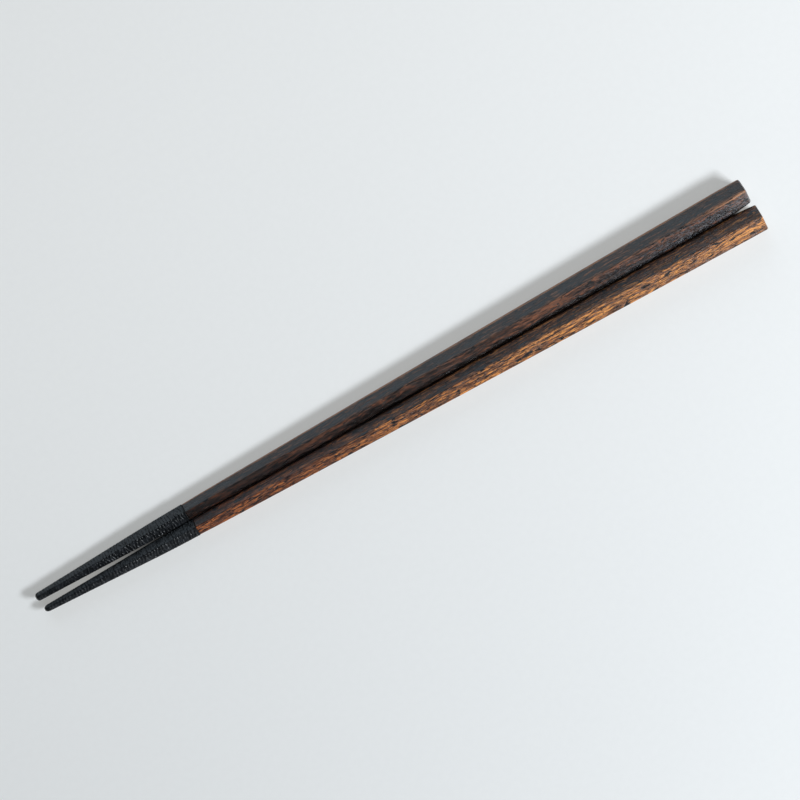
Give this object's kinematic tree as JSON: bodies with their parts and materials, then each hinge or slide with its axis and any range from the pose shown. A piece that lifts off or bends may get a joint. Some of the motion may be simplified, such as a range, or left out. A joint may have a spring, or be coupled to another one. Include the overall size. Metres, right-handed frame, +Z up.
{
  "type": "chopsticks",
  "caption": "Slim tapered wooden chopsticks with flat sides, lying side by side, their blunt tips built up with black rippled lacquer so that they grip food.",
  "frame": {"origin": "on the table, in the middle of the pair's footprint", "axes": "+X from the tips to the heads, +Y towards the chopstick that is on the right as seen from the heads, +Z up from the table"},
  "size_m": [0.2306, 0.0164, 0.0077],
  "materials": {
    "wood": "dark streaked hardwood with a thin satin finish",
    "lacquer": "thick satin black lacquer, rippled across the stick"
  },
  "bodies": {
    "root": {"left_chopstick": "wood", "left_tip_coat": "lacquer", "right_chopstick": "wood", "right_tip_coat": "lacquer"}
  },
  "joints": []
}
